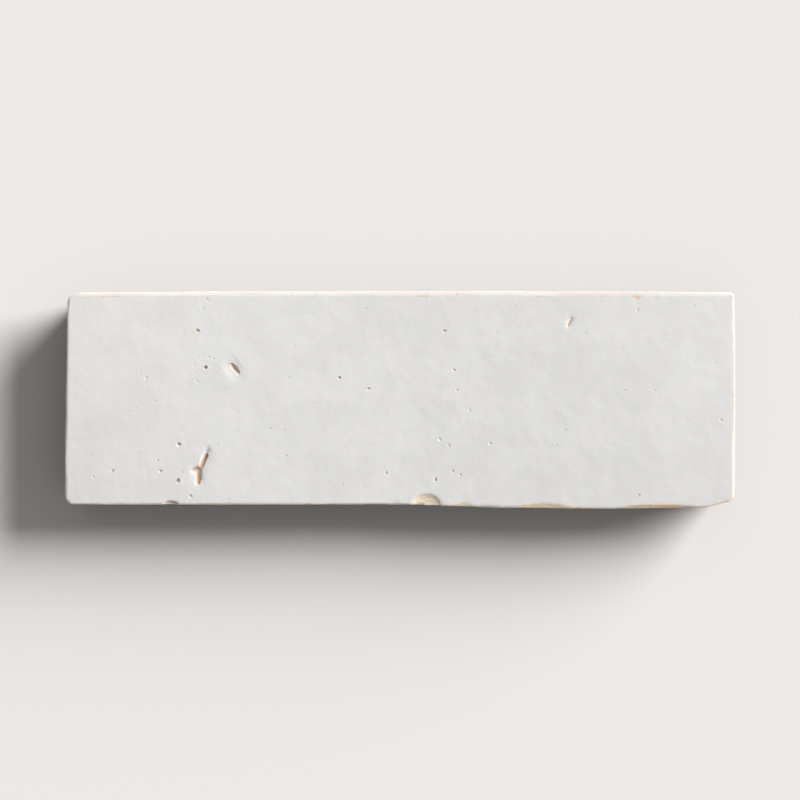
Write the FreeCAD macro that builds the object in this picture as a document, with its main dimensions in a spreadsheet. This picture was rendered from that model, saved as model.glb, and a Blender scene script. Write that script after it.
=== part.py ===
import FreeCAD, Part
import math
import os
from collections import namedtuple

import Sketcher

# One zellige tile, 5 x 15 cm: a slab of fired clay with a glazed face. It was pressed and glazed by
# hand, and its sides were then chiselled, so the face is a little wavy, its outline is a little
# uneven, the sides lean in towards the back so that neighbours meet at the face, and the glazed
# arris is chipped. Millimetres. The tile lies on its back: X runs along it, Y across it and Z up to
# the glaze, from the middle of the back.

SIZES = {
    # The face, corner to corner before the arris is rounded, and the height of its highest place.
    "face_length": 150.0,
    "face_width": 49.0,
    "thickness": 12.0,
    # How far each side leans in, from the face down to the back.
    "front_lean": 1.5,
    "back_lean": 1.0,
    "left_lean": 1.3,
    "right_lean": 0.9,
    # The front side: straight on the left, with a belly on the right.
    "belly_depth": 0.85,
    "belly_length": 66.0,
    "belly_bow": 0.6,
    "belly_rise": 0.3,
    # The corner that the hammer took off at the right of the front side.
    "front_cut_along": 6.6,
    "front_cut_across": 1.9,
    # The corner that it took off at the left of the back side.
    "back_cut_along": 3.0,
    "back_cut_across": 1.1,
    # The other three sides bow out a little, and the end sides stand askew.
    "right_bow": 0.25,
    "right_skew": 0.35,
    "back_bow": 0.25,
    "left_bow": 0.12,
    "left_skew": 0.6,
    # How far the upright corners are rounded.
    "left_front_round": 2.0,
    "right_back_round": 1.3,
    "cut_corner_round": 1.6,
    # The glazed arris round the face, and the worn arris round the back.
    "arris_round": 0.35,
    "back_round": 0.4,
    # The face's waves, at five places from the left end to the right. Drop is how far the middle of
    # the face lies under the full thickness, tilt is how much higher its back side is than its front
    # side, and crown is how far its middle stands above its two sides.
    "drop_1": 0.40,
    "drop_2": 0.10,
    "drop_3": 0.28,
    "drop_4": 0.06,
    "drop_5": 0.36,
    "tilt_1": 0.22,
    "tilt_2": -0.14,
    "tilt_3": 0.10,
    "tilt_4": 0.26,
    "tilt_5": -0.12,
    "crown_1": 0.34,
    "crown_2": 0.46,
    "crown_3": 0.30,
    "crown_4": 0.42,
    "crown_5": 0.34,
    # How far the blank stands above the finished face, and the trimming tool past its sides.
    "trim_height": 1.0,
    "overrun": 4.0,
    # The shell-shaped chip in the front arris. Inset is how far the arris stands back at its place
    # from the widest place of the front side.
    "chip_place": 5.9,
    "chip_inset": 0.72,
    "chip_length": 6.4,
    "chip_reach": 2.7,
    "chip_depth": 0.35,
    # Four thin losses from the same arris: three to the right of the chip and one far to its left.
    "flake_place": 31.8,
    "flake_inset": 0.0,
    "flake_length": 11.0,
    "flake_reach": 1.0,
    "flake_depth": 0.14,
    "rind_place": 58.0,
    "rind_inset": 0.07,
    "rind_length": 17.0,
    "rind_reach": 0.7,
    "rind_depth": 0.1,
    "spall_place": 14.2,
    "spall_inset": 0.4,
    "spall_length": 4.2,
    "spall_reach": 0.9,
    "spall_depth": 0.14,
    "sliver_place": -51.1,
    "sliver_inset": 0.85,
    "sliver_length": 3.0,
    "sliver_reach": 0.9,
    "sliver_depth": 0.14,
    # The nick, left of the middle of the face, where a crumb was torn from the glaze.
    "nick_x": -36.8,
    "nick_y": 7.0,
    "nick_turn": -50.0,
    "nick_length": 3.0,
    "nick_width": 1.0,
    "nick_depth": 0.35,
    # The forked scar below it: an arm, a leg that runs on from it, and a branch where they meet.
    "arm_x": -43.8,
    "arm_y": -13.4,
    "arm_turn": 70.0,
    "arm_length": 4.8,
    "arm_width": 1.1,
    "arm_depth": 0.3,
    "leg_x": -44.9,
    "leg_y": -17.0,
    "leg_turn": 82.0,
    "leg_length": 4.2,
    "leg_width": 1.4,
    "leg_depth": 0.35,
    "branch_x": -45.3,
    "branch_y": -15.6,
    "branch_turn": 16.0,
    "branch_length": 2.4,
    "branch_width": 1.3,
    "branch_depth": 0.3,
}

# One corner of an outline: its place, how far it is rounded, and how far the side that leaves it
# bows out. All four are formulas on the sheet.
Corner = namedtuple("Corner", "x y rounding bow")
SHARP = "0"
STRAIGHT = "0"

# A chip's centre stands as far above the face as its floor lies below it. This is then the chip's
# half width at the face, as a share of its half width at its centre.
RIM_SHARE = "sqrt(0.75)"


def driving_sheet(doc):
    """The spreadsheet that drives the model, one plain number a row, each with its alias."""
    sheet = doc.addObject("Spreadsheet::Sheet", "sizes")
    for row, (alias, value) in enumerate(SIZES.items(), start=1):
        cell = f"A{row}"
        sheet.set(cell, str(value))
        sheet.setAlias(cell, alias)
    doc.recompute()
    return sheet


def origin_plane(body, role):
    return next(f for f in body.Origin.OriginFeatures if f.Role == role)


def sketch_on(body, name, role, offset):
    """An empty sketch parallel to one of the body's own origin planes, at an offset from it."""
    sketch = body.newObject("Sketcher::SketchObject", name)
    sketch.AttachmentSupport = [(origin_plane(body, role), "")]
    sketch.MapMode = "FlatFace"
    sketch.setExpression("AttachmentOffset.Base.z", offset)
    return sketch


def bind(sketch, constraint, formula):
    """Adds a constraint and ties its value to a formula on the sheet."""
    index = sketch.addConstraint(constraint)
    sketch.setExpression(f"Constraints[{index}]", formula)


def bowed(start, end, rise):
    """A side from start to end, which stands out to its right by rise at its middle."""
    if not rise:
        return Part.LineSegment(start, end)
    half_chord = (end - start) / 2
    outward = FreeCAD.Vector(half_chord.y, -half_chord.x).normalize()
    return Part.Arc(start, start + half_chord + outward * rise, end)


def shortened(side, rise, by_start, by_end):
    """The same side with a length taken off each end."""
    first = side.parameterAtDistance(by_start, side.FirstParameter)
    last = side.parameterAtDistance(side.length() - by_end, side.FirstParameter)
    if not rise:
        return Part.LineSegment(side.value(first), side.value(last))
    return Part.Arc(side.value(first), side.value((first + last) / 2), side.value(last))


def draw_outline(sketch, corners):
    """A closed outline through corners, anticlockwise. The sides are drawn first, short of each
    rounded corner, then the arcs that round the corners, which touch both of their sides."""
    value = {f: float(sketch.evalExpression(f)) for corner in corners for f in corner}
    places = [FreeCAD.Vector(value[c.x], value[c.y]) for c in corners]
    chords = [bowed(a, b, value[c.bow]) for a, b, c in zip(places, places[1:] + places[:1], corners)]
    setbacks = []
    for n, corner in enumerate(corners):
        arriving, leaving = places[n] - places[n - 1], places[(n + 1) % len(places)] - places[n]
        setbacks.append(value[corner.rounding] * math.tan(arriving.getAngle(leaving) / 2))
    sides = []
    for corner, chord, before, after in zip(corners, chords, setbacks, setbacks[1:] + setbacks[:1]):
        sides.append(sketch.addGeometry(shortened(chord, value[corner.bow], before, after), False))
    for n, corner in enumerate(corners):
        arriving, leaving = sides[n - 1], sides[n]
        if value[corner.rounding]:
            point = round_corner(sketch, corner, places[n], arriving, leaving, value)
        else:
            sketch.addConstraint(Sketcher.Constraint("Coincident", arriving, 2, leaving, 1))
            point = leaving
        bind(sketch, Sketcher.Constraint("DistanceX", -1, 1, point, 1, places[n].x), corner.x)
        bind(sketch, Sketcher.Constraint("DistanceY", -1, 1, point, 1, places[n].y), corner.y)
    for n, corner in enumerate(corners):
        if value[corner.bow]:
            following = corners[(n + 1) % len(corners)]
            chord_squared = f"((({following.x}) - ({corner.x}))^2 + (({following.y}) - ({corner.y}))^2)"
            radius = f"({chord_squared} / 4 + ({corner.bow})^2) / (2 * {corner.bow})"
            length = float(sketch.evalExpression(radius))
            bind(sketch, Sketcher.Constraint("Radius", sides[n], length), radius)


def round_corner(sketch, corner, place, arriving, leaving, value):
    """Joins two sides by an arc, and keeps their corner as a point that both would pass through."""
    start, end = sketch.Geometry[arriving].EndPoint, sketch.Geometry[leaving].StartPoint
    chord = end - start
    outward = (place - (start + end) / 2).normalize()
    radius = value[corner.rounding]
    rise = radius - math.sqrt(radius**2 - (chord.Length / 2) ** 2)
    arc = sketch.addGeometry(Part.Arc(start, (start + end) / 2 + outward * rise, end), False)
    sketch.addConstraint(Sketcher.Constraint("Tangent", arriving, 2, arc, 1))
    sketch.addConstraint(Sketcher.Constraint("Tangent", arc, 2, leaving, 1))
    bind(sketch, Sketcher.Constraint("Radius", arc, radius), corner.rounding)
    point = sketch.addGeometry(Part.Point(place), True)
    sketch.addConstraint(Sketcher.Constraint("PointOnObject", point, 1, arriving))
    sketch.addConstraint(Sketcher.Constraint("PointOnObject", point, 1, leaving))
    return point


def outline_corners(lean_share):
    """The tile's corners, anticlockwise from the left of the front side, where its sides have
    leaned in by the given share of their lean."""
    left = f"-(sizes.face_length / 2 - sizes.left_lean * {lean_share})"
    right = f"(sizes.face_length / 2 - sizes.right_lean * {lean_share})"
    front = f"-(sizes.face_width / 2 - sizes.front_lean * {lean_share})"
    back = f"(sizes.face_width / 2 - sizes.back_lean * {lean_share})"
    belly_end = f"{right} - sizes.front_cut_along"
    hollow_left = f"{left} + sizes.left_skew"
    back_line = f"{back} - sizes.back_bow"
    cut_round = "sizes.cut_corner_round"
    return [
        Corner(left, f"{front} + sizes.belly_depth", "sizes.left_front_round", STRAIGHT),
        Corner(f"{belly_end} - sizes.belly_length", f"{front} + sizes.belly_depth", SHARP, "sizes.belly_bow"),
        Corner(belly_end, f"{front} + sizes.belly_rise", cut_round, STRAIGHT),
        Corner(f"{right} - sizes.right_skew", f"{front} + sizes.front_cut_across", cut_round, "sizes.right_bow"),
        Corner(f"{right} - sizes.right_bow", back_line, "sizes.right_back_round", "sizes.back_bow"),
        Corner(f"{hollow_left} + sizes.back_cut_along", back_line, cut_round, STRAIGHT),
        Corner(hollow_left, f"{back_line} - sizes.back_cut_across", cut_round, "sizes.left_bow"),
    ]


def loft(body, kind, name, sections):
    feature = body.newObject(kind, name)
    feature.Profile = sections[0]
    feature.Sections = sections[1:]
    return feature


def make_blank(body):
    """The slab with its sides chiselled to the outline, still a little too high."""
    foot = sketch_on(body, "back_outline", "XY_Plane", "0")
    draw_outline(foot, outline_corners("1"))
    # The sides run on above the face at the same lean, so there they have leaned out.
    top = sketch_on(body, "blank_outline", "XY_Plane", "sizes.thickness + sizes.trim_height")
    draw_outline(top, outline_corners("(-sizes.trim_height / sizes.thickness)"))
    blank = loft(body, "PartDesign::AdditiveLoft", "blank", [foot, top])
    blank.Ruled = True
    body.Document.recompute()
    return blank


def round_edges(body, name, below, names, radius):
    fillet = body.newObject("PartDesign::Fillet", name)
    fillet.Base = (below, names)
    fillet.setExpression("Radius", radius)
    body.Document.recompute()
    return fillet


def face_profile(body, number, station):
    """The trimming tool's section across the tile at one station: the wavy face is its lower side."""
    half = "(sizes.face_width / 2 + sizes.overrun)"
    level = f"sizes.thickness - sizes.drop_{number} - sizes.crown_{number}"
    ceiling = "sizes.thickness + 2 * sizes.trim_height"
    sketch = sketch_on(body, f"face_profile_{number}", "YZ_Plane", station)
    corners = [
        (half, f"{level} + sizes.tilt_{number} / 2"),
        (half, ceiling),
        (f"-{half}", ceiling),
        (f"-{half}", f"{level} - sizes.tilt_{number} / 2"),
    ]
    # Seen from inside the tool its lower side bulges in, so the loop is closed by an arc of its own.
    places = [FreeCAD.Vector(*(float(sketch.evalExpression(f)) for f in corner)) for corner in corners]
    crown = f"sizes.crown_{number}"
    rise = float(sketch.evalExpression(crown))
    for start, end in zip(places, places[1:]):
        sketch.addGeometry(Part.LineSegment(start, end), False)
    middle = (places[3] + places[0]) / 2
    along = places[0] - places[3]
    upward = FreeCAD.Vector(-along.y, along.x).normalize()
    arc = sketch.addGeometry(Part.Arc(places[0], middle + upward * rise, places[3]), False)
    for side in (0, 1):
        sketch.addConstraint(Sketcher.Constraint("Coincident", side, 2, side + 1, 1))
    sketch.addConstraint(Sketcher.Constraint("Coincident", arc, 1, 0, 1))
    sketch.addConstraint(Sketcher.Constraint("Coincident", arc, 2, 2, 2))
    for (x, y), place, (side, end) in zip(corners, places, ((0, 1), (1, 1), (2, 1), (2, 2))):
        bind(sketch, Sketcher.Constraint("DistanceX", -1, 1, side, end, place.x), x)
        bind(sketch, Sketcher.Constraint("DistanceY", -1, 1, side, end, place.y), y)
    radius = f"({half}^2 + (sizes.tilt_{number} / 2)^2 + {crown}^2) / (2 * {crown})"
    value = float(sketch.evalExpression(radius))
    bind(sketch, Sketcher.Constraint("Radius", arc, value), radius)
    return sketch


def trim_face(body):
    """Cuts the blank down to the wavy face, with a tool lofted through five sections along the tile."""
    end = "(sizes.face_length / 2 + sizes.overrun)"
    stations = [f"-{end}", f"-{end} / 2", "0", f"{end} / 2", end]
    profiles = [face_profile(body, n, station) for n, station in enumerate(stations, start=1)]
    face = loft(body, "PartDesign::SubtractiveLoft", "wavy_face", profiles)
    body.Document.recompute()
    return face


def face_name(shape, level):
    """The name of the face whose middle is nearest to a level, among the two that lie flat."""
    flat = [i for i, f in enumerate(shape.Faces) if f.Area > shape.BoundBox.XLength * shape.BoundBox.YLength / 2]
    nearest = min(flat, key=lambda i: abs(shape.Faces[i].CenterOfMass.z - level))
    return f"Face{nearest + 1}"


def hollow(body, name, radii, centre, turn="0"):
    """Takes an ellipsoid out of the tile: radii along X, Y and Z before its turn about Z."""
    cut = body.newObject("PartDesign::SubtractiveEllipsoid", name)
    cut.AttachmentSupport = [(origin_plane(body, "XY_Plane"), "")]
    cut.MapMode = "FlatFace"
    cut.Angle1, cut.Angle2, cut.Angle3 = -90, 90, 360
    for prop, formula in zip(("Radius2", "Radius3", "Radius1"), radii):
        cut.setExpression(prop, formula)
    for axis, formula in zip("xyz", centre):
        cut.setExpression(f"AttachmentOffset.Base.{axis}", formula)
    cut.AttachmentOffset = FreeCAD.Placement(
        cut.AttachmentOffset.Base, FreeCAD.Rotation(FreeCAD.Vector(0, 0, 1), 0)
    )
    cut.setExpression("AttachmentOffset.Rotation.Angle", turn)
    body.Document.recompute()
    return cut


def chip_front_arris(body, kind):
    """A shell-shaped loss from the front arris, which the face and the side share."""
    hollow(
        body,
        f"front_{kind}",
        (
            f"sizes.{kind}_length / 2 / {RIM_SHARE}",
            f"sizes.{kind}_reach / {RIM_SHARE}",
            f"2 * sizes.{kind}_depth",
        ),
        (
            f"sizes.{kind}_place",
            f"-(sizes.face_width / 2 - sizes.{kind}_inset)",
            f"sizes.thickness - sizes.drop_3 - sizes.crown_3 + sizes.{kind}_depth",
        ),
    )


def scratch_face(body, kind):
    """A long shallow hollow in the face, turned about Z."""
    hollow(
        body,
        f"face_{kind}",
        (
            f"sizes.{kind}_length / 2 / {RIM_SHARE}",
            f"sizes.{kind}_width / 2 / {RIM_SHARE}",
            f"2 * sizes.{kind}_depth",
        ),
        (
            f"sizes.{kind}_x",
            f"sizes.{kind}_y",
            f"sizes.thickness - sizes.drop_2 - sizes.crown_2 / 4 + sizes.{kind}_depth",
        ),
        f"sizes.{kind}_turn",
    )


def make_tile(doc):
    body = doc.addObject("PartDesign::Body", "zellige_tile")
    body.Label = "zellige_tile"
    make_blank(body)
    face = trim_face(body)
    thickness = float(body.evalExpression("sizes.thickness"))
    arris = round_edges(body, "glazed_arris", face, [face_name(face.Shape, thickness)], "sizes.arris_round")
    round_edges(body, "back_arris", arris, [face_name(arris.Shape, 0)], "sizes.back_round")
    for kind in ("chip", "flake", "rind", "spall", "sliver"):
        chip_front_arris(body, kind)
    for kind in ("nick", "arm", "leg", "branch"):
        scratch_face(body, kind)
    return body


def main():
    doc = FreeCAD.newDocument("zellige")
    driving_sheet(doc)
    tile = make_tile(doc)
    doc.recompute()
    failed = [o.Name for o in doc.Objects if {"Invalid", "Error"} & set(o.State)]
    if failed:
        raise RuntimeError(f"these features failed: {failed}")
    if tile.Shape.isNull() or not tile.Shape.isValid():
        raise RuntimeError("the tile isn't a valid shape")
    os.makedirs("parts", exist_ok=True)
    tile.Shape.exportStep(f"parts/{tile.Label}.step")
    box = tile.Shape.optimalBoundingBox()
    print(f"tile {box.XLength:.2f} x {box.YLength:.2f} x {box.ZLength:.2f} mm,", end=" ")
    print(f"volume {tile.Shape.Volume / 1000:.2f} cm3, {len(tile.Shape.Solids)} solid")


main()
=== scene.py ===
# %% [markdown]
# # One zellige tile in white glaze
# Zellige is pressed from clay, dipped in glaze, fired, and trimmed at its sides with a hammer, so
# no two tiles are alike. The CAD frame holds this tile's true outline, its waves and its chips.
# This lesson dresses it the way a sculptor would: block out a slab, carve it to the CAD solid, remesh
# it to fine clay, then press, tear and glaze it.

# %% Load the frame
import bmesh
import bpy
import math
import random
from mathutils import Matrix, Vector
from mathutils.kdtree import KDTree


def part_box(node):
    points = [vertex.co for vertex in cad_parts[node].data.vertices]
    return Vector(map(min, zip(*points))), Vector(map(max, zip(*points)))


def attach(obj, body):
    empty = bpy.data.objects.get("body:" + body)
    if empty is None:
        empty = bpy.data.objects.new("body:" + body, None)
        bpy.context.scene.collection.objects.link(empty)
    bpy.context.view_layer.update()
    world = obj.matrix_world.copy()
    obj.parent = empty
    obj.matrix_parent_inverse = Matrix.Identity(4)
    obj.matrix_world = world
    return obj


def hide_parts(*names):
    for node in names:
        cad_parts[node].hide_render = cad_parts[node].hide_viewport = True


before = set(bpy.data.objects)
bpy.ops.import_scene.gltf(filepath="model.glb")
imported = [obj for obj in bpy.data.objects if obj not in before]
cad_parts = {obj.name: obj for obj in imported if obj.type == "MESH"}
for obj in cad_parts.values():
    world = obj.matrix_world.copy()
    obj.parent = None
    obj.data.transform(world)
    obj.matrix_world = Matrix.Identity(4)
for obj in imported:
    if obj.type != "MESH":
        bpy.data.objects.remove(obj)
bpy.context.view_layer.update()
cad_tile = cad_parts["zellige_tile"]
MM = 0.001

# %% [markdown]
# ## Working in edit mode
# An operator acts on all that is selected, so every step starts with nothing selected. Faces are
# then picked in code, by their place or by the way that they face. These helpers are used for every
# step below.

# %% Helpers to select
def only(piece):
    """Object mode, with this one object selected and active."""
    if bpy.context.mode != "OBJECT":
        bpy.ops.object.mode_set(mode="OBJECT")
    bpy.ops.object.select_all(action="DESELECT")
    piece.select_set(True)
    bpy.context.view_layer.objects.active = piece


def pick_faces(piece, wanted):
    """Edit mode, with only the faces selected for which wanted(face) is true."""
    only(piece)
    bpy.ops.object.mode_set(mode="EDIT")
    bpy.ops.mesh.select_mode(type="FACE")
    bpy.ops.mesh.select_all(action="DESELECT")
    mesh = bmesh.from_edit_mesh(piece.data)
    chosen = [face for face in mesh.faces if wanted(face)]
    for face in chosen:
        face.select_set(True)
    bmesh.update_edit_mesh(piece.data)
    return len(chosen)


def finish_modifier(piece, modifier):
    """Applies a modifier, so that its result can be worked on."""
    only(piece)
    bpy.ops.object.modifier_apply(modifier=modifier.name)


# %% [markdown]
# ## The slab of clay
# The real tile is cut from a slab. Here the slab is a cube, a little larger than the CAD tile, and a
# Boolean modifier carves it: of the cube, only what the CAD tile fills is left. Carving is better
# here than typed corners, because it follows the CAD tile if its outline changes.

# %% Carve the slab
SPARE = 2 * MM

low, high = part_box("zellige_tile")
bpy.ops.object.select_all(action="DESELECT")
bpy.ops.mesh.primitive_cube_add(
    size=1, location=(low + high) / 2, scale=high - low + Vector((SPARE, SPARE, SPARE))
)
tile = bpy.context.object
tile.name = "glazed_tile"
bpy.ops.object.transform_apply(location=True, rotation=False, scale=True)
carve = tile.modifiers.new("carve", "BOOLEAN")
carve.operation = "INTERSECT"
carve.object = cad_tile
finish_modifier(tile, carve)
print(f"the slab has {len(tile.data.polygons)} faces")

# %% [markdown]
# ## Fine clay
# A few large faces can't hold a thumb mark. The Remesh modifier in voxel mode turns the block into
# even squares, about half a millimetre wide, and Shrinkwrap then lays every point on the nearest
# place of the CAD tile. A little smoothing between two wraps evens out the squares at the rolled edge.

# %% Remesh and wrap
GRAIN_OF_MESH = 0.55 * MM
EVEN_ROUNDS = 4


def wrap_on_cad(piece):
    """Lays every point of a piece on the nearest place of the CAD tile."""
    wrap = piece.modifiers.new("wrap", "SHRINKWRAP")
    wrap.target = cad_tile
    wrap.wrap_method = "NEAREST_SURFACEPOINT"
    finish_modifier(piece, wrap)


clay = tile.modifiers.new("fine clay", "REMESH")
clay.mode = "VOXEL"
clay.voxel_size = GRAIN_OF_MESH
finish_modifier(tile, clay)
wrap_on_cad(tile)
even = tile.modifiers.new("even", "SMOOTH")
even.factor = 0.5
even.iterations = EVEN_ROUNDS
finish_modifier(tile, even)
wrap_on_cad(tile)
print(f"remeshed to {len(tile.data.polygons)} faces")

# %% [markdown]
# ## A plain back
# The back lies on the bed and needs few faces. Decimate thins it out, and leaves the rest alone.

# %% Thin the back
BACK_SHARE = 0.12
BACK_LAYER = 0.3 * MM
DOWNWARD = -0.95


def on_bed(face):
    return face.normal.z < DOWNWARD and face.calc_center_median().z < BACK_LAYER


picked = pick_faces(tile, on_bed)
bpy.ops.mesh.decimate(ratio=BACK_SHARE)
only(tile)
print(f"thinned {picked} faces of the back, {len(tile.data.polygons)} faces are left")

# %% [markdown]
# ## Blemishes of the glaze
# Air in the clay bursts through the glaze while it melts, and leaves pinholes with a raised lip.
# Each is given by its place on the face, how far across it is, how deep, and how much of the clay
# shows in it, from 0 to 1. They are measured in millimetres from the middle of the tile.

# %% Name the pinholes
PINHOLES = [
    (-45.2, 15.5, 1.0, 0.20, 0.8),
    (-43.5, 7.2, 0.9, 0.45, 0.6),
    (-56.6, 5.0, 0.7, 0.12, 0.1),
    (-49.3, -9.9, 1.1, 0.18, 0.4),
    (-64.1, -15.8, 0.9, 0.12, 0.5),
    (-68.4, -17.2, 0.7, 0.12, 0.4),
    (-53.4, -15.8, 0.8, 0.16, 0.5),
    (-54.1, -13.4, 0.6, 0.15, 0.4),
    (-49.6, -18.0, 1.1, 0.24, 0.5),
    (-46.7, -21.4, 0.9, 0.14, 0.4),
    (-59.0, -1.6, 0.6, 0.10, 0.1),
    (-43.0, 22.5, 0.8, 0.12, 0.1),
    (-13.5, 5.0, 0.7, 0.25, 0.4),
    (-7.1, 2.6, 0.6, 0.25, 0.5),
    (-3.1, -16.3, 0.8, 0.12, 0.6),
    (9.9, 15.4, 0.7, 0.30, 0.4),
    (53.0, 20.0, 0.7, 0.07, 0.4),
    (12.1, 6.7, 0.7, 0.16, 0.2),
    (12.7, 2.2, 0.6, 0.13, 0.1),
    (15.4, -2.4, 0.6, 0.15, 0.1),
    (8.8, -8.7, 0.9, 0.10, 0.2),
    (10.9, -10.3, 0.7, 0.13, 0.6),
    (20.1, -9.7, 0.8, 0.12, 0.1),
    (11.7, -15.9, 0.8, 0.13, 0.6),
    (13.5, -16.8, 0.6, 0.20, 0.4),
    (7.9, -17.8, 0.7, 0.30, 0.5),
    (53.3, -21.2, 0.6, 0.12, 0.9),
    (71.5, -4.6, 0.9, 0.08, 0.5),
]
print(f"named {len(PINHOLES)} pinholes")

# %% [markdown]
# Smaller pricks stand in a ring round one pinhole. A ring is drawn from its angle and its reach,
# with a little chance in both. The chance comes from a seed, so each run gives the same ring.

# %% Ring a pinhole with pricks
RINGED = (-43.5, 6.9)
PRICKS = 9
PRICK_DEPTH = 0.09
PRICK_CLAY = 0.15

dice = random.Random(5)
for prick in range(PRICKS):
    angle = math.tau * prick / PRICKS + dice.uniform(-0.2, 0.2)
    reach = dice.uniform(2.3, 3.3)
    place = (RINGED[0] + reach * math.cos(angle), RINGED[1] + reach * math.sin(angle))
    PINHOLES.append((*place, dice.uniform(0.4, 0.55), PRICK_DEPTH, PRICK_CLAY))
print(f"with the ring, {len(PINHOLES)} pinholes")

# %% [markdown]
# Where a crumb of clay stuck to the face, it was torn out again and left a scar. A scar is a stroke
# from one place to another: a soft dent in the glaze, as wide as its slopes, with a narrow furrow
# along its middle. The numbers are the slopes' width and the dent's depth, the furrow's width and
# depth, and how much clay the furrow shows. The CAD tile already has the first scar's furrow, and
# glaze flowed back into it, so its depth here is below zero. The last two are ripples beside it.

# %% Name the scars
SCARS = [
    ((-37.8, 8.15), (-36.2, 6.15), 5.0, 0.12, 1.0, -0.08, 0.8),
    ((-42.9, -10.9), (-42.9, -11.4), 2.4, 0.05, 0.7, 0.08, 0.3),
    ((-42.9, -12.4), (-44.9, -15.3), 4.0, 0.08, 1.1, 0.02, 0.9),
    ((-45.0, -15.5), (-45.0, -18.4), 4.4, 0.09, 1.1, 0.04, 1.0),
    ((-45.0, -15.5), (-46.1, -15.5), 3.0, 0.05, 1.0, 0.04, 1.0),
    ((38.2, 18.1), (37.4, 16.7), 2.4, 0.10, 0.6, 0.35, 0.6),
    ((-37.4, 9.7), (-35.2, 6.9), 0.0, 0.0, 0.7, 0.05, 0.0),
    ((-36.5, 10.4), (-34.3, 7.6), 0.0, 0.0, 0.6, 0.04, 0.0),
]
print(f"named {len(SCARS)} strokes of scars")

# %% [markdown]
# ## Finer clay where it is needed
# A pinhole is only two squares wide, and the rounded edge is hardly one. Both are subdivided, and so
# are the scars and the strip along the back edge. Faces are taken by how near they are to a blemish
# or to the back edge, or by how far they have turned away from lying flat.

# %% List the places of the blemishes
STROKE_STEPS = 8


def face_place(place):
    """A place on the face, from millimetres."""
    return Vector((place[0] * MM, place[1] * MM, high.z))


def along(start, end, steps):
    """Evenly spaced places from start to end."""
    return [face_place(start).lerp(face_place(end), step / steps) for step in range(steps + 1)]


blemishes = [face_place(pinhole) for pinhole in PINHOLES]
for start, end, *_ in SCARS:
    blemishes += along(start, end, STROKE_STEPS)
near_blemish = KDTree(len(blemishes))
for index, place in enumerate(blemishes):
    near_blemish.insert(place, index)
near_blemish.balance()
print(f"{len(blemishes)} places need finer clay")

# %% Refine the edge and the blemishes
EDGE_HEIGHT = 3 * MM
STRIP = 1.8 * MM
NEAR = 1.9 * MM
NEARER = 1.4 * MM


def refine(piece, wanted):
    """Cuts each wanted face into four."""
    picked = pick_faces(piece, wanted)
    bpy.ops.mesh.subdivide(number_cuts=1)
    only(piece)
    print(f"refined {picked} faces, now {len(piece.data.polygons)}")


def on_rolled_edge(face):
    return 0.1 < face.normal.z < 0.985 and face.calc_center_median().z > high.z - EDGE_HEIGHT


def on_back_strip(face):
    return face.normal.z > 0.3 and face.calc_center_median().y > high.y - STRIP


def within(distance):
    return lambda face: face.normal.z > 0.5 and near_blemish.find(face.calc_center_median())[2] < distance


refine(tile, on_rolled_edge)
refine(tile, on_back_strip)
refine(tile, within(NEAR))
refine(tile, within(NEARER))
wrap_on_cad(tile)

# %% [markdown]
# ## Remember how the surface turns
# Glaze thins where the face rolls over into the side. Later steps roughen the surface, so the
# direction that each point faces is kept now, as an attribute that the materials can read: 0 on the
# face, 1 on the sides and 2 on the back.

# %% Keep the turn
def keep(piece, name, values):
    """Stores one number for each point of the mesh under a name."""
    attribute = piece.data.attributes.get(name) or piece.data.attributes.new(name, "FLOAT", "POINT")
    attribute.data.foreach_set("value", values)


def kept(piece, name):
    return [item.value for item in piece.data.attributes[name].data]


keep(tile, "turn", [1 - corner.normal.z for corner in tile.data.vertices])
print(f"kept the turn of {len(tile.data.vertices)} points")

# %% [markdown]
# Glaze draws back from a sharp edge as it melts, and the clay warms it there. How near each point of
# the face is to the tile's sides is kept too: 1 at the side, and 0 from a millimetre in.

# %% Keep the rim
RIM = 1.0 * MM
SIDE_TOP = 2.5 * MM


def level(place):
    """A place seen from straight above."""
    return Vector((place.x, place.y, 0))


corners = list(zip(tile.data.vertices, kept(tile, "turn")))
side_tops = [
    level(corner.co) for corner, turn in corners if turn > 0.8 and corner.co.z > high.z - SIDE_TOP
]
sides = KDTree(len(side_tops))
for index, place in enumerate(side_tops):
    sides.insert(place, index)
sides.balance()
keep(tile, "rim", [max(1 - sides.find(level(corner.co))[2] / RIM, 0.0) for corner, _ in corners])
print(f"measured the rim from {len(side_tops)} points of the sides")

# %% [markdown]
# ## Waves, dents and chisel marks
# A Displace modifier moves each point along its normal by a texture's grey. A vertex group says how
# much of it each region gets. The middle level is 1, so a point only ever sinks, and the tile stays
# inside the CAD tile's box.

# %% Helpers to roughen
def smooth_step(low_end, high_end, value):
    share = min(max((value - low_end) / (high_end - low_end), 0.0), 1.0)
    return share * share * (3 - 2 * share)


def weigh(piece, name, weight_of):
    """A vertex group with a weight for each point, worked out from its place and its turn."""
    group = piece.vertex_groups.new(name=name)
    for corner, turn in zip(piece.data.vertices, kept(piece, "turn")):
        weight = weight_of(corner.co, turn)
        if weight > 0:
            group.add([corner.index], weight, "REPLACE")


def roughen(piece, group, size, depth, noise="SOFT_NOISE", octaves=2, direction="NORMAL"):
    """Sinks a region by up to depth, in clouds of a size."""
    clouds = bpy.data.textures.new(f"{group} clouds", "CLOUDS")
    clouds.noise_scale = size
    clouds.noise_depth = octaves
    clouds.noise_type = noise
    displace = piece.modifiers.new(group, "DISPLACE")
    displace.texture = clouds
    displace.texture_coords = "LOCAL"
    displace.direction = direction
    displace.mid_level = 1.0
    displace.strength = depth
    displace.vertex_group = group
    finish_modifier(piece, displace)
    bpy.data.textures.remove(clouds)


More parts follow.
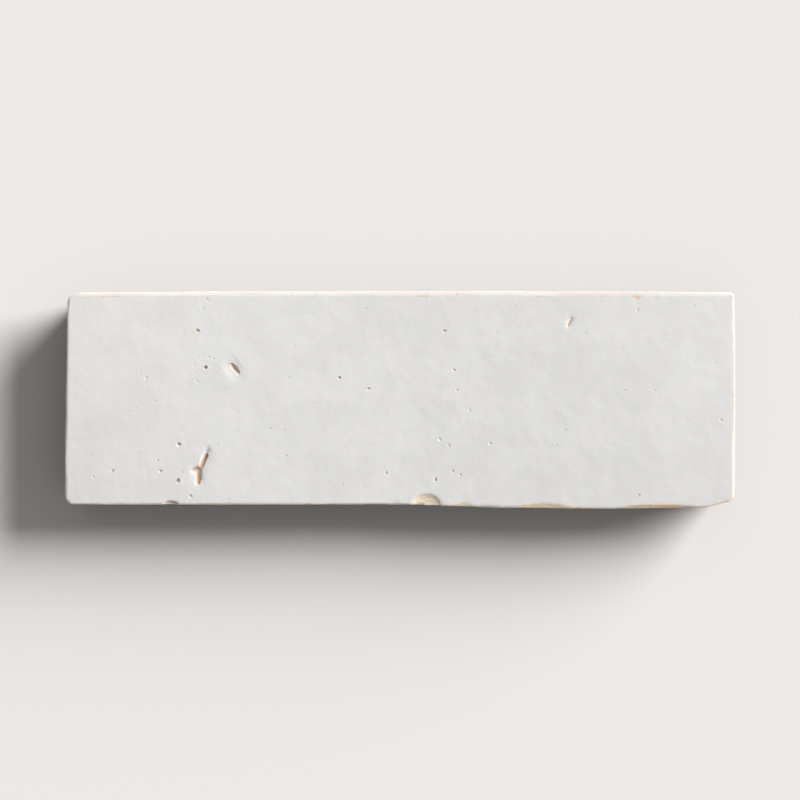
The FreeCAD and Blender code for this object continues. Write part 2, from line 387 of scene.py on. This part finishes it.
# %% [markdown]
# Each region has its own marks. The face has the potter's soft waves, the band along the back edge
# rolls off in a slope, the edge is dented, and the sides show the chisel below the line where the
# glaze ends. The bed side is only coarse. One Displace for each, weighed by its own group, keeps
# the marks apart, where one texture for the whole tile would give all sides the same skin.

# %% Weigh each region
BAND = 1.1 * MM


def on_face(place, turn):
    return 1 - smooth_step(0.1, 0.9, turn)


def on_edge(place, turn):
    return smooth_step(0.02, 0.5, turn) * (1 - smooth_step(1.2, 1.6, turn))


def on_back_band(place, turn):
    """From 0 to 1 across the band, and fading again down the side below it."""
    share = min(max((place.y - high.y) / BAND + 1, 0.0), 1.0)
    return share * smooth_step(high.z - 5 * MM, high.z - 0.8 * MM, place.z)


def on_flank(place, turn):
    below_glaze = 1 - smooth_step(high.z - 2.7 * MM, high.z - 1.2 * MM, place.z)
    return smooth_step(0.7, 1.0, turn) * (1 - smooth_step(1.3, 1.9, turn)) * below_glaze


def on_back(place, turn):
    return smooth_step(1.6, 1.95, turn)


weigh(tile, "face", on_face)
weigh(tile, "edge", on_edge)
weigh(tile, "back band", on_back_band)
weigh(tile, "flank", on_flank)
weigh(tile, "back", on_back)
print(f"weighed {len(tile.vertex_groups)} regions")

# %% Roughen each region
roughen(tile, "face", 11 * MM, 0.05 * MM, direction="Z")
roughen(tile, "face", 3.5 * MM, 0.025 * MM, direction="Z")
roughen(tile, "back band", 16 * MM, 0.42 * MM, direction="Z")
roughen(tile, "edge", 7 * MM, 0.25 * MM)
roughen(tile, "edge", 1.8 * MM, 0.10 * MM)
unchiselled = [corner.co.copy() for corner in tile.data.vertices]
roughen(tile, "flank", 5 * MM, 0.70 * MM, "HARD_NOISE", 3)
roughen(tile, "flank", 1.3 * MM, 0.30 * MM, "HARD_NOISE", 3)
# How far the chisel went in, in millimetres. The material paints the hollows darker than the ridges, as
# painted shade.
chiselled = zip(tile.data.vertices, unchiselled)
keep(tile, "hollow", [(corner.co - start).length / MM for corner, start in chiselled])
roughen(tile, "back", 6 * MM, 0.20 * MM, octaves=4)
print(f"the chisel went in by up to {max(kept(tile, 'hollow')):.2f} mm")

# %% [markdown]
# ## Pinholes and scars
# Proportional editing moves one point and drags its neighbours along, less the farther they are.
# A wide soft pull up makes a pinhole's lip, and a few narrow presses down, each a little off the
# middle, make an uneven hole. A furrow is a row of soft presses.

# %% Press the pinholes and the scars
PRESSES = 3
LIP_REACH, LIP_RISE = 1.3, 0.1
PRESS_REACH, PRESS_SHARE = 0.42, 0.4
OFF_MIDDLE = 0.15
DENT_STEPS = 3


def press(mesh, place, radius, depth, falloff):
    """Moves the point nearest to a place down by depth, and its neighbours with it."""
    bpy.ops.mesh.select_all(action="DESELECT")
    nearest = min(mesh.verts, key=lambda corner: (corner.co - place).length_squared)
    nearest.select_set(True)
    bpy.ops.transform.translate(
        value=(0, 0, -depth),
        use_proportional_edit=True,
        proportional_edit_falloff=falloff,
        proportional_size=radius,
    )


only(tile)
bpy.ops.object.mode_set(mode="EDIT")
bpy.ops.mesh.select_mode(type="VERT")
mesh = bmesh.from_edit_mesh(tile.data)
for pinhole in PINHOLES:
    across, depth = pinhole[2] * MM, pinhole[3] * MM
    press(mesh, face_place(pinhole), LIP_REACH * across, -LIP_RISE * depth, "SMOOTH")
    for _ in range(PRESSES):
        shift = Vector((dice.uniform(-1, 1), dice.uniform(-1, 1), 0)) * OFF_MIDDLE * across
        press(mesh, face_place(pinhole) + shift, PRESS_REACH * across, PRESS_SHARE * depth, "ROOT")
for start, end, slopes, dent, width, furrow, _ in SCARS:
    if dent:
        for place in along(start, end, DENT_STEPS):
            press(mesh, place, slopes / 2 * MM, dent / 2 * MM, "SMOOTH")
    for place in along(start, end, STROKE_STEPS):
        press(mesh, place, 0.7 * width * MM, furrow / 4 * MM, "SMOOTH")
bmesh.update_edit_mesh(tile.data)
only(tile)
print(f"pressed {len(PINHOLES)} pinholes and {len(SCARS)} strokes of scars")

# %% [markdown]
# ## Where the clay shows
# Three more attributes tell the material what happened to the glaze, and where shade is painted. Stain is
# the clay that shows in pinholes, in furrows and as flecks along the edges, where the glaze ran thin. Hole is
# painted shade: a grey that darkens pinholes, deeper ones more, and the tips of the scars. Torn is the clay
# laid bare where a flake was knocked off.
# A fleck runs from one place to another, and has a width and a share of clay. A loss is an ellipse
# on the front edge: its place, and how far it reaches along and in.

# %% Name the flecks, the painted shade in the scars and the losses
FLECKS = [
    ((-71.0, 22.85), (-69.2, 23.0), 0.5, 0.62),
    ((-69.2, 23.0), (-62.7, 23.15), 0.4, 0.54),
    ((-67.2, 23.0), (-65.8, 23.0), 0.5, 0.66),
    ((-60.0, 23.1), (-40.0, 23.3), 0.3, 0.42),
    ((-30.0, 23.3), (-2.0, 23.3), 0.3, 0.40),
    ((-2.2, 23.3), (-0.2, 23.25), 0.45, 0.62),
    ((3.8, 23.25), (6.2, 23.25), 0.5, 0.66),
    ((6.2, 23.25), (30.0, 23.25), 0.3, 0.44),
    ((30.6, 23.2), (32.4, 23.2), 0.45, 0.62),
    ((33.0, 23.2), (52.0, 23.15), 0.3, 0.42),
    ((52.2, 23.15), (53.6, 23.1), 0.6, 0.68),
    ((53.2, 23.0), (53.4, 20.5), 0.5, 0.42),
    ((-44.0, -23.2), (-27.0, -23.2), 0.6, 0.48),
    ((-21.9, -23.3), (-19.8, -23.3), 0.9, 0.64),
    ((-8.4, -23.4), (-2.4, -23.4), 0.6, 0.54),
    ((36.5, -24.1), (42.2, -24.2), 0.8, 0.68),
    ((66.8, -24.0), (71.0, -23.3), 0.5, 0.45),
    ((71.0, -23.2), (74.2, -22.2), 0.9, 0.66),
    ((74.5, -6.8), (74.5, -8.8), 0.6, 0.62),
    ((74.4, -19.1), (74.3, -21.2), 0.7, 0.62),
    ((74.5, 1.0), (74.5, -2.5), 0.4, 0.50),
]
# Painted shade darkens the tips of the scars, in strokes like the flecks.
SCAR_TIP_SHADE = [
    ((-37.7, 8.3), (-37.3, 7.9), 0.6, 0.55),
    ((-42.9, -12.4), (-43.1, -12.8), 0.7, 0.5),
    ((-46.2, -15.5), (-45.9, -15.5), 0.7, 0.6),
    ((-45.0, -17.9), (-45.0, -18.4), 0.7, 0.5),
]
LOSSES = [
    ((5.9, -23.8), 3.25, 2.75),
    ((14.2, -24.1), 2.3, 1.3),
    ((31.8, -24.5), 6.0, 1.5),
    ((58.0, -24.43), 9.2, 1.2),
    ((-51.1, -23.65), 1.7, 1.2),
]
print(f"named {len(FLECKS)} flecks, {len(SCAR_TIP_SHADE)} spots of painted_shade and {len(LOSSES)} losses")

# %% Paint the stain and the painted shade in the holes
STAIN_STEP = 0.25 * MM
# A stroke is full in its middle and gone where its distance is this share of its width.
STROKE_FULL, STROKE_GONE = 0.25, 0.8


def painted(piece, strokes):
    """How much clay each point shows, from strokes of (start, end, width, share)."""
    upper = [corner for corner in piece.data.vertices if corner.co.z > high.z - EDGE_HEIGHT]
    plan = KDTree(len(upper))
    for corner in upper:
        plan.insert((corner.co.x, corner.co.y, 0), corner.index)
    plan.balance()
    shows = [0.0] * len(piece.data.vertices)
    for start, end, width, share in strokes:
        steps = 1 + int((face_place(start) - face_place(end)).length / STAIN_STEP)
        for place in along(start, end, steps):
            for _, index, distance in plan.find_range((place.x, place.y, 0), STROKE_GONE * width * MM):
                fade = 1 - smooth_step(STROKE_FULL, STROKE_GONE, distance / (width * MM))
                shows[index] = max(shows[index], share * fade)
    return shows


strokes = [(pinhole, pinhole, pinhole[2], pinhole[4]) for pinhole in PINHOLES]
strokes += [(start, end, width, share) for start, end, _, _, width, _, share in SCARS]
strokes += FLECKS
keep(tile, "stain", painted(tile, strokes))
# A deeper hole gets more painted shade than a shallow one.
holes = [(pinhole, pinhole, 0.95 * pinhole[2], min(0.3 + 2 * pinhole[3], 1.0)) for pinhole in PINHOLES]
keep(tile, "hole", painted(tile, holes + SCAR_TIP_SHADE))
print(f"painted {len(strokes)} stains")

# %% Tear the losses
TORN_GRAIN = 0.9 * MM
TORN_DEPTH = 0.07 * MM


def torn_at(place):
    """1 inside a loss, falling to 0 just outside it and a little way down the side."""
    nearness = 0.0
    for middle, half_along, reach in LOSSES:
        across = math.hypot((place.x / MM - middle[0]) / half_along, (place.y / MM - middle[1]) / reach)
        nearness = max(nearness, 1 - smooth_step(0.9, 1.1, across))
    return nearness * smooth_step(high.z - 2.4 * MM, high.z - 1.2 * MM, place.z)


keep(tile, "torn", [torn_at(corner.co) for corner in tile.data.vertices])
weigh(tile, "torn", lambda place, turn: torn_at(place))
roughen(tile, "torn", TORN_GRAIN, TORN_DEPTH, "HARD_NOISE", 3)
print(f"tore {len(LOSSES)} losses")

# %% [markdown]
# ## Nodes in code
# Helpers keep the shader code short: one adds a node with its settings and feeds its sockets, small
# ones do sums, ramps, blends and noise, and one makes a node group with named inputs and outputs.

# %% Helpers for nodes
def node(tree, kind, settings=None, **feeds):
    """Adds a node. Each feed is a socket to link or a plain value. Its name is the input's, with _
    for a space, or i and the input's number."""
    made = tree.nodes.new(kind)
    for name, value in (settings or {}).items():
        setattr(made, name, value)
    for name, value in feeds.items():
        key = int(name[1:]) if name[1:].isdigit() else name.replace("_", " ")
        if isinstance(value, bpy.types.NodeSocket):
            tree.links.new(value, made.inputs[key])
        else:
            made.inputs[key].default_value = value
    return made


def math_node(tree, operation, first, second):
    return node(tree, "ShaderNodeMath", {"operation": operation}, i0=first, i1=second).outputs[0]


def plus(tree, first, second):
    return math_node(tree, "ADD", first, second)


def minus(tree, first, second):
    return math_node(tree, "SUBTRACT", first, second)


def times(tree, first, second):
    return math_node(tree, "MULTIPLY", first, second)


def larger(tree, first, second):
    return math_node(tree, "MAXIMUM", first, second)


def ramp(tree, value, low_end, high_end, to_low=0.0, to_high=1.0):
    """Smoothly maps low_end..high_end of a value to to_low..to_high."""
    made = node(tree, "ShaderNodeMapRange", {"interpolation_type": "SMOOTHSTEP"}, Value=value)
    made.inputs["From Min"].default_value = low_end
    made.inputs["From Max"].default_value = high_end
    made.inputs["To Min"].default_value = to_low
    made.inputs["To Max"].default_value = to_high
    return made.outputs["Result"]


def mix(tree, share, first, second):
    """A value between two values."""
    return node(tree, "ShaderNodeMix", i0=share, i2=first, i3=second).outputs[0]


def blend(tree, share, first, second):
    """A colour between two colours."""
    return node(tree, "ShaderNodeMix", {"data_type": "RGBA"}, i0=share, i6=first, i7=second).outputs[2]


def noise(tree, place, per_mm, detail=2.0, roughness=0.5):
    """A noise value with so many waves to the millimetre."""
    return node(
        tree, "ShaderNodeTexNoise", Vector=place, Scale=per_mm, Detail=detail, Roughness=roughness
    ).outputs["Fac"]


def group(name, inputs, outputs):
    """An empty node group. Inputs and outputs are {name: socket type}."""
    tree = bpy.data.node_groups.new(name, "ShaderNodeTree")
    for socket, kind in inputs.items():
        tree.interface.new_socket(socket, in_out="INPUT", socket_type=kind)
    for socket, kind in outputs.items():
        tree.interface.new_socket(socket, in_out="OUTPUT", socket_type=kind)
    return tree, tree.nodes.new("NodeGroupInput").outputs, tree.nodes.new("NodeGroupOutput").inputs


VECTOR, COLOUR, VALUE = "NodeSocketVector", "NodeSocketColor", "NodeSocketFloat"


def from_screen(red, green, blue):
    """A colour as it looks on a screen, 0 to 255, as the linear colour that a shader takes."""
    linear = [(c / 255 / 12.92) if c < 11 else ((c / 255 + 0.055) / 1.055) ** 2.4 for c in (red, green, blue)]
    return (*linear, 1.0)


# %% [markdown]
# ## Fired clay
# The clay is buff, with warmer clouds where the fire touched it, a brown grain, dark specks and pale
# crumbs. A Voronoi texture gives each speck a cell, and a cell's own random colour decides whether
# it has one. Clay scatters light like chalk, so it is rough everywhere.

# %% Make the clay group
GRAIN_BROWN = from_screen(168, 124, 92)
SPECK_BROWN = from_screen(150, 112, 84)
CRUMB_CREAM = from_screen(243, 233, 217)

clay_tree, given, out = group(
    "fired clay",
    {"Place": VECTOR, "Pale": COLOUR, "Warm": COLOUR},
    {"Color": COLOUR, "Roughness": VALUE, "Height": VALUE},
)
clouds = noise(clay_tree, given["Place"], 0.16, 4.0, 0.6)
grain = noise(clay_tree, given["Place"], 2.2, 5.0, 0.7)
grit = node(clay_tree, "ShaderNodeTexVoronoi", Vector=given["Place"], Scale=1.7)
from_middle = grit.outputs["Distance"]
chosen = node(clay_tree, "ShaderNodeSeparateColor", Color=grit.outputs["Color"]).outputs[0]
speck = times(clay_tree, ramp(clay_tree, from_middle, 0.3, 0.15), ramp(clay_tree, chosen, 0.8, 0.86))
crumb = times(clay_tree, ramp(clay_tree, from_middle, 0.34, 0.2), ramp(clay_tree, chosen, 0.16, 0.1))
colour = blend(clay_tree, ramp(clay_tree, clouds, 0.4, 0.66), given["Pale"], given["Warm"])
colour = blend(clay_tree, ramp(clay_tree, grain, 0.56, 0.72, 0, 0.28), colour, GRAIN_BROWN)
colour = blend(clay_tree, times(clay_tree, speck, 0.4), colour, SPECK_BROWN)
colour = blend(clay_tree, times(clay_tree, crumb, 0.6), colour, CRUMB_CREAM)
clay_tree.links.new(colour, out["Color"])
clay_tree.links.new(ramp(clay_tree, grain, 0.3, 0.7, 0.82, 0.96), out["Roughness"])
height = plus(clay_tree, grain, times(clay_tree, crumb, 0.3))
height = minus(clay_tree, height, times(clay_tree, speck, 0.4))
clay_tree.links.new(height, out["Height"])
print(f"the clay group has {len(clay_tree.nodes)} nodes")

# %% [markdown]
# ## White glaze
# The glaze is milky with tin, and never quite even: it is a little greyer where it is thin, and
# warmer towards the left of this tile. Small waves in it, like the peel of an orange, break up the
# light, and prick marks too small to model are set in as dots.

# %% Make the glaze group
PRICK_GREY = from_screen(168, 160, 148)

glaze_tree, given, out = group(
    "tin glaze",
    {"Place": VECTOR, "White": COLOUR, "Shade": COLOUR, "Blush": COLOUR},
    {"Color": COLOUR, "Roughness": VALUE, "Height": VALUE},
)
mottle = noise(glaze_tree, given["Place"], 0.09, 3.0, 0.55)
cloudy = noise(glaze_tree, given["Place"], 0.35, 3.0, 0.5)
peel = noise(glaze_tree, given["Place"], 0.6, 2.0, 0.45)
pricks = node(glaze_tree, "ShaderNodeTexVoronoi", Vector=given["Place"], Scale=0.33)
from_middle = pricks.outputs["Distance"]
chosen = node(glaze_tree, "ShaderNodeSeparateColor", Color=pricks.outputs["Color"]).outputs[1]
prick = times(glaze_tree, ramp(glaze_tree, from_middle, 0.1, 0.04), ramp(glaze_tree, chosen, 0.62, 0.7))
across = node(glaze_tree, "ShaderNodeSeparateXYZ", Vector=given["Place"]).outputs["X"]
wandering = plus(glaze_tree, across, times(glaze_tree, mottle, 30.0))
leftness = ramp(glaze_tree, wandering, -28.0, -66.0)
mottle = plus(glaze_tree, mottle, times(glaze_tree, across, 0.0005))
colour = blend(glaze_tree, ramp(glaze_tree, mottle, 0.42, 0.6), given["White"], given["Shade"])
colour = blend(glaze_tree, ramp(glaze_tree, cloudy, 0.5, 0.68, 0, 0.4), colour, given["Shade"])
colour = blend(glaze_tree, times(glaze_tree, leftness, 0.5), colour, given["Blush"])
colour = blend(glaze_tree, times(glaze_tree, prick, 0.45), colour, PRICK_GREY)
glaze_tree.links.new(colour, out["Color"])
glaze_tree.links.new(ramp(glaze_tree, cloudy, 0.35, 0.7, 0.28, 0.4), out["Roughness"])
waves = plus(glaze_tree, times(glaze_tree, cloudy, 0.7), times(glaze_tree, peel, 0.3))
glaze_tree.links.new(minus(glaze_tree, waves, times(glaze_tree, prick, 0.5)), out["Height"])
print(f"the glaze group has {len(glaze_tree.nodes)} nodes")

# %% [markdown]
# ## The glazed clay
# One material carries both, for the glaze is fused to the clay. A mask says where the glaze is. It
# covers the face, wraps over the rolled edge, and ends in an uneven line a little way down the side.
# It is missing where the clay is stained or torn, and noise breaks each border up.

# %% Mask the bare clay
glazed_clay = bpy.data.materials.new("glazed clay")
glazed_clay.use_nodes = True
tree = glazed_clay.node_tree
shader = tree.nodes["Principled BSDF"]
place = node(tree, "ShaderNodeTexCoord").outputs["Object"]
place = node(tree, "ShaderNodeMapping", Vector=place, Scale=(1 / MM,) * 3).outputs["Vector"]
height_up = node(tree, "ShaderNodeSeparateXYZ", Vector=place).outputs["Z"]


def kept_value(name):
    return node(tree, "ShaderNodeAttribute", {"attribute_name": name}).outputs["Fac"]


turn, rim, stain = kept_value("turn"), kept_value("rim"), kept_value("stain")
hole, torn, hollow = kept_value("hole"), kept_value("torn"), kept_value("hollow")
ragged = noise(tree, place, 1.3, 4.0, 0.65)
drips = noise(tree, place, 0.28, 3.0, 0.6)
# The line on the side where the glaze ends, in millimetres above the back.
glaze_end = plus(tree, times(tree, drips, -7.0), 13.2)
below_end = minus(tree, glaze_end, height_up)
on_side = ramp(tree, plus(tree, below_end, times(tree, ragged, 0.8)), 0.3, 0.7)
on_side = times(tree, on_side, ramp(tree, turn, 0.7, 0.95))
stained = ramp(tree, plus(tree, stain, times(tree, ragged, 1.6)), 1.2, 1.36)
stained = times(tree, stained, ramp(tree, stain, 0.02, 0.15))
torn_off = ramp(tree, plus(tree, torn, times(tree, ragged, 0.5)), 0.68, 0.82)
bare = larger(tree, larger(tree, on_side, stained), torn_off)
print(f"the mask has {len(tree.nodes)} nodes")

# %% [markdown]
# The clay isn't the same everywhere. The chiselled sides are buff, with painted shade in their
# hollows, a stain is tan, and a fresh break is pale, with painted light that makes it paler still
# where it is steep. A pale and a warm colour are chosen for each, and the clay group clouds the two together.

# %% Colour the clay
SIDE_PALE, SIDE_WARM = from_screen(198, 181, 163), from_screen(190, 164, 140)
STAIN_PALE, STAIN_WARM = from_screen(240, 222, 203), from_screen(228, 196, 164)
DEEP_PALE, DEEP_WARM = from_screen(218, 194, 171), from_screen(200, 164, 132)
BREAK_PALE, BREAK_WARM = from_screen(243, 226, 206), from_screen(238, 213, 187)
# Painted light: paler colours for the steep walls of a break, which lie in shade.
LIT_STEEP_PALE, LIT_STEEP_WARM = from_screen(255, 244, 230), from_screen(250, 230, 208)
HOLLOW_SHADE = from_screen(134, 111, 91)

deep = ramp(tree, stain, 0.6, 0.95)
# Painted light: a break is coloured paler where its walls are steep, to offset their shade.
lit_steep_share = times(tree, ramp(tree, turn, 0.15, 0.5), ramp(tree, turn, 1.0, 0.8))


def clay_shade(side, stain_colour, deep_colour, break_colour, lit_steep_colour):
    """The side's colour, unless the clay is stained or torn there."""
    of_stain = blend(tree, deep, stain_colour, deep_colour)
    of_break = blend(tree, lit_steep_share, break_colour, lit_steep_colour)
    return blend(tree, torn_off, blend(tree, stained, side, of_stain), of_break)


clay = node(
    tree,
    "ShaderNodeGroup",
    {"node_tree": clay_tree},
    Place=place,
    Pale=clay_shade(SIDE_PALE, STAIN_PALE, DEEP_PALE, BREAK_PALE, LIT_STEEP_PALE),
    Warm=clay_shade(SIDE_WARM, STAIN_WARM, DEEP_WARM, BREAK_WARM, LIT_STEEP_WARM),
)
# Painted shade: the chisel's hollows on the sides are darkened, the deeper the darker.
hollow_shade_share = times(tree, ramp(tree, hollow, 0.45, 1.0, 0.0, 0.5), on_side)
clay_colour = blend(tree, hollow_shade_share, clay.outputs["Color"], HOLLOW_SHADE)
print(f"with the clay's colour, {len(tree.nodes)} nodes")

# %% [markdown]
# Glaze that ran thin over the rolled edge lets the clay's warmth through in places, and all round
# the rim it is a little rosy.

# %% Colour the glaze
WHITE, SHADE = from_screen(226, 225, 223), from_screen(222, 221, 219)
BLUSH = from_screen(230, 225, 224)
THIN_GLAZE = from_screen(240, 222, 208)
RIM_GLAZE = from_screen(227, 213, 206)

glaze = node(
    tree, "ShaderNodeGroup", {"node_tree": glaze_tree}, Place=place, White=WHITE, Shade=SHADE, Blush=BLUSH
)
thin = times(tree, ramp(tree, turn, 0.15, 0.6), ramp(tree, turn, 1.0, 0.75))
thin = times(tree, thin, ramp(tree, drips, 0.45, 0.62, 0.0, 0.35))
glaze_colour = blend(tree, thin, glaze.outputs["Color"], THIN_GLAZE)
rimmed = ramp(tree, plus(tree, rim, times(tree, ragged, 0.5)), 0.5, 0.9, 0.0, 0.85)
glaze_colour = blend(tree, rimmed, glaze_colour, RIM_GLAZE)
print(f"with the glaze's colour, {len(tree.nodes)} nodes")

# %% [markdown]
# The mask chooses between glaze and clay for the colour, the roughness and the relief, and a painted
# shade greys the holes. The glaze has a clear coat, which the clay lacks. The sunlit sides would throw a
# warm glow on the floor and into the shadow, which are to stay a neutral grey. So rays that have
# bounced off something see the sides as dark, while the camera sees their true colour.

# %% Feed the shader
# Painted shade: the grey that darkens holes and the tips of scars.
HOLE_SHADE_GREY = from_screen(158, 148, 137)
SIDE_BOUNCE = from_screen(70, 69, 68)
GLAZE_RELIEF, CLAY_RELIEF = 0.06, 0.16
GLAZE_THICKNESS = 0.04
COAT_ROUGHNESS = 0.08
GLAZE_DEPTH_SHARE = 0.3
GLAZE_DEPTH = (1.0, 0.9, 0.8)

colour = blend(tree, bare, glaze_colour, clay_colour)
# Painted shade: holes and scar tips are greyed, deeper holes more.
hole_shade_share = ramp(tree, plus(tree, hole, times(tree, ragged, 0.6)), 0.65, 1.15, 0.0, 0.75)
colour = blend(tree, hole_shade_share, colour, HOLE_SHADE_GREY)
side_in_bounce = node(tree, "ShaderNodeLightPath").outputs["Is Diffuse Ray"]
side_in_bounce = times(tree, side_in_bounce, ramp(tree, turn, 0.4, 0.8))
tree.links.new(blend(tree, side_in_bounce, colour, SIDE_BOUNCE), shader.inputs["Base Color"])
rough = mix(tree, bare, glaze.outputs["Roughness"], clay.outputs["Roughness"])
tree.links.new(rough, shader.inputs["Roughness"])
tree.links.new(minus(tree, 1.0, bare), shader.inputs["Coat Weight"])
shader.inputs["Coat Roughness"].default_value = COAT_ROUGHNESS
# Light goes a little way into the glaze and comes out again, which softens its small shadows.
shader.inputs["Subsurface Weight"].default_value = GLAZE_DEPTH_SHARE
shader.inputs["Subsurface Radius"].default_value = GLAZE_DEPTH
shader.inputs["Subsurface Scale"].default_value = MM
# The relief is in millimetres. Bare clay lies lower, by the thickness of the glaze that is gone.
glaze_height = times(tree, glaze.outputs["Height"], GLAZE_RELIEF)
clay_height = times(tree, clay.outputs["Height"], CLAY_RELIEF)
relief = mix(tree, bare, glaze_height, clay_height)
relief = plus(tree, relief, times(tree, bare, -GLAZE_THICKNESS))
bump = node(tree, "ShaderNodeBump", Height=relief, Distance=MM, Strength=1.0)
tree.links.new(bump.outputs["Normal"], shader.inputs["Normal"])
tile.data.materials.append(glazed_clay)
print(f"the glazed clay has {len(tree.nodes)} nodes")

# %% Finish the mesh and place the piece
only(tile)
bpy.ops.object.shade_smooth()
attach(tile, "root")
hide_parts("zellige_tile")
print(f"{tile.name} stands for the CAD tile")

# %% [markdown]
# ## The studio
# The tile lies on a pale floor, seen from straight above. The floor is a little darker for rays that
# have bounced than for the camera, because so pale a floor would otherwise fill the shadow with its
# own light.

# %% Make the floor
BACKGROUND = from_screen(238, 234, 231)
FLOOR_BOUNCE = from_screen(210, 207, 204)
FLOOR_SIZE = 6
FLOOR_ROUGHNESS = 0.9

bpy.ops.mesh.primitive_plane_add(size=FLOOR_SIZE, location=(0, 0, 0))
floor = bpy.context.object
floor.name = "floor"
floor_paper = bpy.data.materials.new("floor paper")
floor_paper.use_nodes = True
paper_tree = floor_paper.node_tree
paper = paper_tree.nodes["Principled BSDF"]
in_bounce = node(paper_tree, "ShaderNodeLightPath").outputs["Is Diffuse Ray"]
paper_tree.links.new(blend(paper_tree, in_bounce, BACKGROUND, FLOOR_BOUNCE), paper.inputs["Base Color"])
paper.inputs["Roughness"].default_value = FLOOR_ROUGHNESS
paper.inputs["Specular IOR Level"].default_value = 0.0
floor.data.materials.append(floor_paper)
print(f"the floor is {floor.dimensions.x:.0f} m wide")

# %% Make the camera
CAMERA_HEIGHT = 1.2
# The tile fills this share of the picture's width.
FILLS = 0.84

bpy.ops.object.camera_add(location=(0, 0, CAMERA_HEIGHT), rotation=(0, 0, 0))
camera = bpy.context.object
view_width = (high.x - low.x) / FILLS
camera.data.lens = camera.data.sensor_width * (CAMERA_HEIGHT - high.z) / view_width
bpy.context.scene.camera = camera
print(f"the lens is {camera.data.lens:.0f} mm")

# %% [markdown]
# One very wide light, like a bright sky, stands low at the upper right, so that waves and pinholes
# show, and the world fills the shadows. Together they light the floor so that it looks exactly like
# its own colour: the lamp gives its share of that light, and the world gives the rest. What the
# camera sees beyond the floor, and what the glaze mirrors, is the floor's own colour. The lamp itself
# would be mirrored as a glare, so it is left out of reflections, and a soft patch of brighter sky
# takes its place there.

# %% Make the lights
KEY_DIRECTION = Vector((0.798, 0.496, 0.342)).normalized()
KEY_ANGLE = 0.68
KEY_SHARE = 0.775
SHEEN = 0.35

bpy.ops.object.light_add(type="SUN", location=KEY_DIRECTION)
key = bpy.context.object
key.name = "wide soft light"
key.data.angle = KEY_ANGLE
key.data.energy = KEY_SHARE * math.pi / KEY_DIRECTION.z
key.rotation_euler = KEY_DIRECTION.to_track_quat("Z", "Y").to_euler()
key.visible_glossy = False
world = bpy.data.worlds.new("studio")
bpy.context.scene.world = world
world.use_nodes = True
world_tree = world.node_tree
sky = world_tree.nodes["Background"]
ray = node(world_tree, "ShaderNodeLightPath").outputs
seen = larger(world_tree, ray["Is Camera Ray"], ray["Is Glossy Ray"])
fill = (*[1 - KEY_SHARE] * 3, 1.0)
world_tree.links.new(blend(world_tree, seen, fill, BACKGROUND), sky.inputs["Color"])
direction = node(world_tree, "ShaderNodeTexCoord").outputs["Generated"]
towards_key = node(
    world_tree, "ShaderNodeVectorMath", {"operation": "DOT_PRODUCT"}, i0=direction, i1=KEY_DIRECTION
).outputs["Value"]
patch = ramp(world_tree, towards_key, 0.4, 1.0, 0.0, SHEEN)
patch = times(world_tree, ray["Is Glossy Ray"], patch)
world_tree.links.new(plus(world_tree, patch, 1.0), sky.inputs["Strength"])
bpy.context.scene.view_settings.view_transform = "Standard"
print(f"the lamp stands {math.degrees(math.asin(KEY_DIRECTION.z)):.0f} degrees above the floor")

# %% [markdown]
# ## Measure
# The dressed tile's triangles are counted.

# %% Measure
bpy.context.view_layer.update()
triangles = sum(len(face.vertices) - 2 for face in tile.data.polygons)
print(f"the dressed tile has {triangles} triangles")
